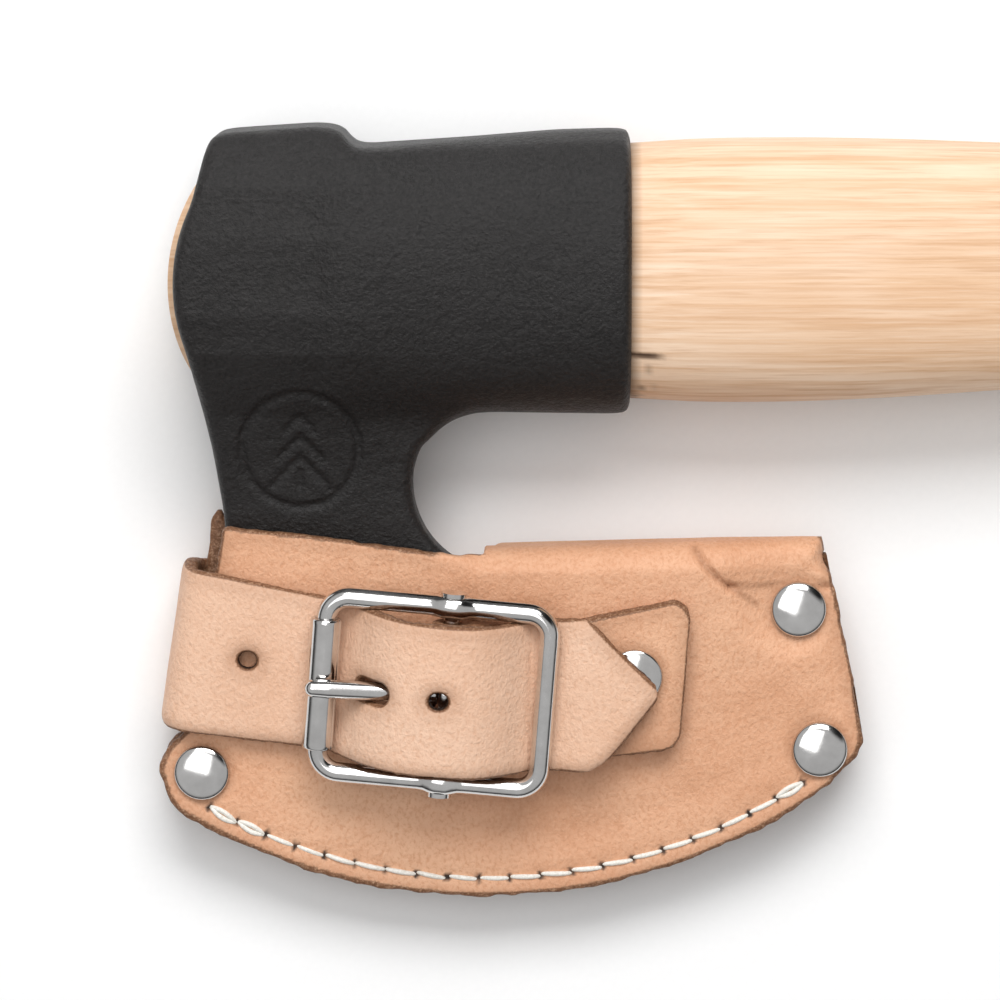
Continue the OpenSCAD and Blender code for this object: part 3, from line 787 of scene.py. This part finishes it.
# ----------------------------------------------------- strap and its route
ROUTE = [(-10, -8.2), (-16, -8.1), (-24, -7.85), (-32, -7.55), (-38, -7.3), (-40.6, -6.7),
         (-42.1, -4.6), (-42.4, 0), (-42.1, 4.6), (-40.6, 6.7), (-38, 7.3), (-32, 7.65),
         (-26, 7.85), (-22, 7.95), (-19.5, 8), (-17.2, 8.4), (-15.5, 9.8), (-13.7, 12.3),
         (-11.3, 15.1), (-8, 17.6), (-4, 18.9), (0, 19.2), (4, 18.5), (7.6, 16.5), (11, 13.7),
         (12.6, 12.2), (14.6, 11.35), (17.5, 11.4), (21.5, 12.6), (25, 12.9), (29, 12.9),
         (33, 12.9)]
STRAP_T = 2.6


def spline(points, steps):
    """Catmull-Rom through points."""
    p = np.array(points, float)
    q = np.vstack([p[:1], p, p[-1:]])
    out = []
    for i in range(len(p) - 1):
        a, b, c, d = q[i], q[i + 1], q[i + 2], q[i + 3]
        for t in np.arange(steps) / steps:
            out.append(0.5 * (2 * b + (c - a) * t + (2 * a - 5 * b + 4 * c - d) * t * t
                              + (3 * b - a - 3 * c + d) * t ** 3))
    return np.array(out + [p[-1]])


def strap_dir(x):
    return np.where(x < -22, -0.15, 0.005 * (x - 8))


class Route:
    """The strap's middle line: flat length s, width w and thickness n to axe millimetres."""

    def __init__(self):
        p = spline(ROUTE, 10)
        self.s = np.concatenate([[0], np.cumsum(np.linalg.norm(np.diff(p, axis=0), axis=1))])
        step = np.gradient(p, self.s, axis=0)
        along, up = step.T
        x, h = BAR_X + p[:, 0], p[:, 1]
        turn = np.arctan(strap_dir(x))
        tilt = math.atan(CONE) * np.clip(h / 6, -1, 1)
        self.route = p
        self.mid = np.column_stack([x, strap_y(x) - h * np.sin(tilt), h * np.cos(tilt)])
        self.across = np.column_stack([-np.sin(turn) * np.cos(tilt), np.cos(turn) * np.cos(tilt),
                                       np.sin(tilt)])
        n = np.column_stack([-up * np.cos(turn), -up * np.sin(turn) - along * np.sin(tilt),
                             along * np.cos(tilt)])
        self.normal = n / np.linalg.norm(n, axis=1)[:, None]
        self.length = self.s[-1]

    def at(self, table, s):
        return np.column_stack([np.interp(s, self.s, c) for c in table.T])

    def place(self, s, w, n):
        s = np.clip(s, 0, self.length)
        return (self.at(self.mid, s) + self.at(self.across, s) * w[:, None]
                + self.at(self.normal, s) * n[:, None])

    def find(self, x, high=True):
        """Flat length where the route passes x from the bar, on the front or the back."""
        front = self.route[:, 1] > 0
        keep = front if high else ~front
        return float(self.s[keep][np.argmin(np.abs(self.route[keep, 0] - x))])


PATH = Route()
TONGUE_START = np.array([-1.5, 0, 0.6])
TONGUE_DIR = np.array([-math.cos(math.radians(10.4)), 0, math.sin(math.radians(10.4))])


def half_width(s):
    x = np.interp(s, PATH.s, PATH.route[:, 0])
    front = np.interp(s, PATH.s, PATH.route[:, 1]) > 0
    taper = 13 - 0.8 * np.clip((x + 38) / 18, 0, 1) + 0.3 * ramp(x, 18, 22)
    return np.where(front, taper, 13.0)


def make_strap():
    length = PATH.length
    tip = length - 9.6
    holes = [(PATH.find(-31.3), 1.3), (PATH.find(-1.4), 1.3)]
    # the tongue's hole, where its shank passes through the strap
    shank = on_buckle(TONGUE_START + np.linspace(4, 17, 200)[:, None] * TONGUE_DIR)
    near = np.argmin(((shank[:, None] - PATH.mid[None]) ** 2).sum(2), axis=1)
    depth = ((shank - PATH.mid[near]) * PATH.normal[near]).sum(1)
    k = int(np.argmin(np.abs(depth)))
    slot_w = float((shank[k] - PATH.mid[near[k]]) @ PATH.across[near[k]])
    slot_a, slot_b = PATH.s[near[k]] - 1.7, PATH.s[near[k]] + 1.7
    rivet = PATH.find(-14, high=False)

    def punched(s, w, at, r):
        """A punched opening, drawn out a little along the strap: positive inside it."""
        return r - np.hypot((s - at) * 0.93, w - 0.2)

    def tongue_slot(s, w):
        return 1.75 - np.hypot(np.maximum(np.maximum(slot_a - s, s - slot_b), 0), w - slot_w)

    def past_point(s, w):
        return (s - tip) * 0.75 + np.abs(w + 0.3) * 0.66 - 7.9

    def field(s, w, n):
        s2, w2 = in_plan(s, w)
        half = half_width(s2)
        rag = 0.1 * waves(s2, w2, 0, 1.4, 31) + 0.16 * waves(s2, w2, 0, 11, 32)
        d = np.abs(w2) - half
        d = smax(d, past_point(s2, w2), 3)
        d = smax(np.maximum(d, s2 - length + 0.1), -s2 + 0.2, 3) + rag
        for at, r in holes:
            d = smax(d, punched(s2, w2, at, r), 0.4)
        d = smax(d, tongue_slot(s2, w2), 0.4)
        d = smax(d, 1.45 - np.hypot(s2 - rivet, w2), 0.3)
        swell = 0.10 * waves(s2, w2, 0, 14, 33)
        rim = 0.25 * ramp(d, -1.6, 0)
        body = np.abs(n) - (STRAP_T / 2 - 0.03 + swell * 0.4 - rim)[:, :, None]
        return smax(d[:, :, None] + 0 * n, body, 0.75)

    v, quads = surface_net(field, (-0.5, -14.2, -2), (length + 0.8, 14.2, 2), (0.4, 0.4, 0.4))
    s, w, n = v.T
    half = half_width(s)
    d = np.maximum(np.abs(w) - half, past_point(s, w))
    for at, r in holes:
        d = np.maximum(d, punched(s, w, at, r))
    d = np.maximum(d, tongue_slot(s, w))
    raw = ramp(d, -0.7, -0.1)
    raw = np.maximum(raw, ramp(n, -0.2, -0.9))
    shade = 0.3 * ramp(d, -3.2, -0.4)
    for at, r in holes:
        shade = np.maximum(shade, 0.4 * ramp(np.hypot(s - at, w), r + 2, r))
    # painted shade: near-black on the walls of the punched holes, below the strap's face
    hole_shade = 0 * s
    for at, r in holes:
        hole_shade = np.maximum(hole_shade, ramp(np.hypot((s - at) * 0.93, w - 0.2), r + 0.3, r + 0.05)
                          * ramp(n, 1.1, 0.5))
    strap = add("closure_strap_leather", PATH.place(s, w, n), quads, None, PALE,
                ["closure_strap"], {"raw": raw, "shade": shade, "hole_shade": hole_shade})
    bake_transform(strap)


make_strap()


# -------------------------------------------------------------- buckle tab
def make_tab():
    slot = 2.75
    outline = ([(-8, 11.7), (-8, -11.7), (14, -11.7)] + arc(34, -4, 3.5, -80, -4, 8)
               + arc(34, 13.2, 3.5, 4, 80, 8) + [(18, 11.7)])
    # the strip goes round the bar and its two layers meet at the rivet
    side = ([(9, 6.75), (37.6, 6.75), (37.6, 10), (13, 10), (8, 13), (4.5, 14.9)]
            + arc(0, BAR_Z, BAR_R + 1.85, 80, 280, 20))

    def from_rivet(x, y):
        return np.hypot(x - TAB_RIVET[0], y - TAB_RIVET[1])

    def field(x, y, z):
        plan = to_polygon(*in_plan(x, y), outline)
        x3, z3 = x[:, 0, :] + 0 * z[:, 0, :], z[:, 0, :] + 0 * x[:, 0, :]
        section = to_polygon(x3, z3, side)
        bore = np.hypot(x3, z3 - BAR_Z) - BAR_R - 0.1
        plan2 = plan + 0.1 * waves(x[:, :, 0], y[:, :, 0], 0, 1.5, 41) \
            + 0.18 * waves(x[:, :, 0], y[:, :, 0], 0, 9, 42)
        layers = 0.22 - np.abs(z3 - np.interp(x3, [-2, 3.5, 9, 40], [12.6, 11.2, 8.45, 8.42]))
        layers = np.minimum(layers, (x3 - 2.5) * 0.3)
        section = smax(section, -bore, 0.2)
        groove = np.minimum(layers[:, None, :], (plan2[:, :, None] + 0.75))
        body = smax(plan2[:, :, None], section[:, None, :], 0.7)
        cut = np.maximum(np.abs(y) - slot, np.maximum(x - 5.6, -6.5 - x)) + 0 * z
        cut = np.maximum(cut, 8 - z)
        body = smax(smax(body, groove, 0.2), -cut, 0.5)
        return np.maximum(body, 1.45 - from_rivet(x, y) + 0 * z)

    v, quads = surface_net(field, (-4.5, -13.5, 5.8), (39, 19, 17.8), (0.4, 0.4, 0.33))
    x, y, z = v.T
    plan = to_polygon(x, y, outline)
    raw = ramp(plan, -0.7, -0.1)
    raw = np.maximum(raw, ramp(np.abs(np.abs(y) - slot), 0.6, 0.1) * ramp(x, 7, 6) * (np.abs(y) < 4))
    raw = np.maximum(raw, ramp(np.hypot(x, z - BAR_Z), 1.7, 1.5))
    shade = 0.28 * ramp(plan, -3.5, -0.4)
    shade = np.maximum(shade, 0.45 * ramp(from_rivet(x, y), 6.3, 4.4))
    add("buckle_tab_leather", on_front(v), quads, "sheath", TAN, ["buckle_tab"],
        {"raw": raw, "shade": shade})


make_tab()


# ------------------------------------------------------------------ buckle
def turned_part(name, profile, at, to, body, replaces, sides=64):
    """A turned part along an axis: at and to are points on it, in axe millimetres."""
    v, faces = lathe(profile, sides)
    at, to = np.array(at, float), np.array(to, float)
    w = to - at
    w /= np.linalg.norm(w)
    u = np.cross(w, [0.2, 0.9, 0.3])
    u /= np.linalg.norm(u)
    points = at + v[:, :1] * u + v[:, 1:2] * np.cross(w, u) + v[:, 2:] * w
    return add(name, points, faces, body, NICKEL, replaces)


def make_frame():
    k = 3.6
    corner = lambda cx, cy, a: arc(cx, cy, k, a, a + 90, 12)
    path = (corner(RIGHT_X - k, RAIL_Y - k, 0) + corner(ROLLER_X + k, RAIL_Y - k, 90)
            + corner(ROLLER_X + k, -RAIL_Y + k, 180) + corner(RIGHT_X - k, -RAIL_Y + k, 270))
    path = np.array(path)
    dense = []
    for a, b in zip(path, np.roll(path, -1, axis=0)):
        n = max(1, int(np.linalg.norm(b - a) / 0.9))
        dense += [a + (b - a) * i / n for i in range(n)]
    dense = np.array(dense)
    radius = WIRE_R + 0.95 * np.exp(-(dense[:, 0] / 2.4) ** 4) * (np.abs(dense[:, 1]) > RAIL_Y - 1)
    v, faces = tube(np.column_stack([dense, 0 * dense[:, 0]]), radius, 28, closed=True)
    # the bosses that hold the bar are swaged flat on their inner and outer faces
    y = v[:, 1]
    near = np.exp(-(v[:, 0] / 3.2) ** 4)
    out = np.clip(np.abs(y), RAIL_Y - WIRE_R, RAIL_Y + WIRE_R)
    v[:, 1] = np.where(np.abs(y) > RAIL_Y - 3, np.sign(y) * (out * near + np.abs(y) * (1 - near)), y)
    add("buckle_frame_wire", on_buckle(v), faces, "buckle", NICKEL, ["buckle_frame"])


def make_roller():
    half, r, bore = RAIL_Y - 3.6, 2.45, 1.68
    a = np.linspace(0, 2 * math.pi, 97)[:-1] + math.radians(200)
    seam = np.exp(-(((np.arange(96) - 48) / 1.1) ** 2))
    rings = [(-half, bore), (-half, r - 0.25), (-half + 0.08, r - 0.1), (-half + 0.3, r)]
    rings += [(y, r) for y in np.linspace(-half + 0.8, half - 0.8, 12)]
    rings += [(half - 0.3, r), (half - 0.08, r - 0.1), (half, r - 0.25), (half, bore)]
    verts, m = [], len(rings)
    for y, radius in rings:
        rr = radius - (0.28 * seam if radius > bore else 0)
        verts.append(np.column_stack([ROLLER_X + rr * np.cos(a), np.full(96, y), rr * np.sin(a)]))
    faces = [(i * 96 + k, ((i + 1) % m) * 96 + k, ((i + 1) % m) * 96 + (k + 1) % 96, i * 96 + (k + 1) % 96)
             for i in range(m) for k in range(96)]
    add("buckle_roller_tube", on_buckle(np.vstack(verts)), faces, "roller", NICKEL,
        ["buckle_roller"])


def make_tongue():
    t = np.linspace(0, 20.9, 60)
    path = TONGUE_START + t[:, None] * TONGUE_DIR
    radius = np.interp(t, [0, 1.5, 17, 20, 20.6, 20.9], [1.5, 1.5, 1.5, 1.35, 0.9, 0.15])
    v, faces = tube(path, radius, 28)
    floor = np.where(v[:, 0] < -17, 2.6, -50)
    v[:, 2] = np.maximum(v[:, 2], floor * ramp(v[:, 0], -16.2, -17.4) - 50 * (v[:, 0] > -16.2))
    # the eye: the tongue's end rolled round the bar
    turns = np.radians(np.linspace(150, 475, 60))
    ring = np.column_stack([2.12 * np.cos(turns), 0 * turns, 2.12 * np.sin(turns)])
    ev, ef = tube(ring, 0.74, 16)
    ev[:, 1] *= 2.1 / 0.74
    faces = faces + [tuple(i + len(v) for i in f) for f in ef]
    add("buckle_tongue_wire", on_buckle(np.vstack([v, ev])), faces, "tongue", NICKEL,
        ["buckle_tongue"])


def dome(r, h):
    """A rivet cap: a domed top, a small turned rim and a flat underside."""
    top = [(r * math.cos(t), h * (0.32 + 0.68 * math.sin(t))) for t in np.linspace(0.18, math.pi / 2, 16)]
    return [(0, 0), (r - 0.25, 0), (r - 0.04, 0.12), (r, 0.18 * h)] + top[:-1] + [(0, h)]


def make_rivets():
    seats = [("toe_rivet", TOE, 4.0), ("upper_heel_rivet", UPPER_HEEL, 4.2),
             ("lower_heel_rivet", LOWER_HEEL, 4.0)]
    for name, (x, y), seat in seats:
        turned_part(name + "_dome", dome(4.4, 1.8), (x, y, seat), (x, y, seat + 1), "sheath",
                    [name + "_cap"])
        turned_part(name + "_back", dome(4.4, 1.8), (x, y, -seat), (x, y, -seat - 1), "sheath",
                    [name + "_post"])
    x, y = TAB_RIVET
    rim = [(0, 0), (4.2, 0), (4.38, 0.15), (4.4, 0.4), (4.25, 0.62), (4.0, 0.72), (3.7, 0.7),
           (3.3, 0.82), (2.6, 1.0), (1.6, 1.14), (0.7, 1.19), (0, 1.2)]
    a, b = on_front([(x, y, TAB_TOP), (x, y, TAB_TOP + 1)])
    turned_part("tab_rivet_dome", rim, a, b, "sheath", ["tab_rivet_cap"])


make_frame()
make_roller()
make_tongue()
make_rivets()


# ------------------------------------------------------------------ thread
def make_thread():
    """Flat waxed stitches that rise out of one hole and dip into the next."""
    verts, faces, count = [], [], 0
    angles = stitch_angles()
    rng = np.random.default_rng(5)
    for side in (1, -1):
        for i in range(STITCHES):
            doubles = 2 if i in (0, 1, STITCHES - 1) else 1
            for twin in range(doubles):
                shift = (twin - 0.5) * 0.95 if doubles == 2 else 0
                t = np.linspace(0, 1, 26)
                hump = np.sin(math.pi * t)
                angle = angles[i] + (angles[i + 1] - angles[i]) * (0.015 + 0.97 * t)
                slant = rng.uniform(-0.12, 0.12) + 0.16
                r = STITCH_R + shift * hump + slant * (t - 0.5) * 2
                lift = 3.35 + 0.72 * hump ** 0.4
                line = np.column_stack([r * np.cos(angle), r * np.sin(angle), side * lift])
                v, f = tube(line, 0.42 * (0.62 + 0.38 * hump ** 0.5), 12)
                verts.append(v)
                faces += [tuple(k + count for k in face) for face in f]
                count += len(v)
    add("seam_thread_stitches", np.vstack(verts), faces, "sheath", THREAD,
        ["seam_thread"])


make_thread()

# --------------------------------------------------- CAD nodes that show
for node, material in (("eye_wedge", BIRCH), ("steel_wedge", STEEL), ("sheath_welt", EDGE),
                       ("tab_rivet_post", NICKEL),
                       ("strap_rivet_cap", NICKEL), ("strap_rivet_post", NICKEL),
                       ("buckle_bar", NICKEL)):
    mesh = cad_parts[node].data
    mesh.materials.clear()
    mesh.materials.append(material)

# ------------------------------------------------------ stage and lights
def make_stage():
    bpy.ops.mesh.primitive_plane_add(size=6, location=(0, 0, 0))
    floor = bpy.context.object
    floor.name = "floor"
    s = Shade("paper_white")
    fine = s.noise(900, 3)
    s.bump((fine, 0.05, 0.1))
    s.set(Base_Color=s.ramp(fine, (0.3, (0.90, 0.90, 0.90)), (0.7, (0.915, 0.915, 0.915))),
          Roughness=0.8)
    floor.data.materials.append(s.material)


def area(name, at, target, size, watts):
    data = bpy.data.lights.new(name, "AREA")
    data.shape, data.size, data.size_y, data.energy = "RECTANGLE", size[0], size[1], watts
    lamp = bpy.data.objects.new(name, data)
    lamp.location = at
    lamp.rotation_euler = (Vector(target) - Vector(at)).to_track_quat("-Z", "Y").to_euler()
    bpy.context.scene.collection.objects.link(lamp)


make_stage()
LOOK = Vector(((2.4 - MID_X) / 1000, 0, 0.0166))
LOOK.y = float(place([(2.4, -30.2, 0)])[0][1])
area("top_soft", LOOK + Vector((0.04, 0.52, 0.66)), LOOK, (0.6, 0.4), 5.9)
area("overhead", LOOK + Vector((-0.15, 0.05, 0.9)), LOOK, (0.6, 0.6), 2.0)

# a room that is bright above and dark near the horizon, so that the metal has something to show
world = bpy.data.worlds.new("studio")
bpy.context.scene.world = world
world.use_nodes = True
tree = world.node_tree
split = tree.nodes.new("ShaderNodeSeparateXYZ")
tree.links.new(tree.nodes.new("ShaderNodeTexCoord").outputs["Generated"], split.inputs[0])
sky = tree.nodes.new("ShaderNodeValToRGB")
for end, (at, level) in zip([sky.color_ramp.elements[0], sky.color_ramp.elements[1]]
                            + [sky.color_ramp.elements.new(0.5) for _ in range(2)],
                            ((0.0, 0.10), (1.0, 1.0), (0.22, 0.10), (0.5, 0.95))):
    end.position, end.color = at, (level, level, level, 1)
tree.links.new(split.outputs["Z"], sky.inputs["Fac"])
facing = tree.nodes.new("ShaderNodeVectorMath")
facing.operation = "DOT_PRODUCT"
facing.inputs[1].default_value = (0.62, 0.50, 0.605)
tree.links.new(split.inputs[0].links[0].from_socket, facing.inputs[0])
patch = tree.nodes.new("ShaderNodeValToRGB")
patch.color_ramp.elements[0].position, patch.color_ramp.elements[0].color = 0.86, (1, 1, 1, 1)
patch.color_ramp.elements[1].position, patch.color_ramp.elements[1].color = 0.95, (0.03,) * 3 + (1,)
tree.links.new(facing.outputs["Value"], patch.inputs["Fac"])
both = tree.nodes.new("ShaderNodeMixRGB")
both.blend_type = "MULTIPLY"
both.inputs["Fac"].default_value = 1
tree.links.new(sky.outputs["Color"], both.inputs["Color1"])
tree.links.new(patch.outputs["Color"], both.inputs["Color2"])
tree.links.new(both.outputs["Color"], tree.nodes["Background"].inputs["Color"])
tree.nodes["Background"].inputs["Strength"].default_value = 0.55
bpy.context.scene.view_settings.view_transform = "Standard"

camera_data = bpy.data.cameras.new("camera")
SENSOR_MM, DISTANCE, VIEW_WIDTH = 36, 0.9, 0.158
camera_data.sensor_width = SENSOR_MM
camera_data.lens = SENSOR_MM * DISTANCE / VIEW_WIDTH
camera = bpy.data.objects.new("camera", camera_data)
camera.location = (LOOK.x, LOOK.y, LOOK.z + DISTANCE)
bpy.context.scene.collection.objects.link(camera)
bpy.context.scene.camera = camera
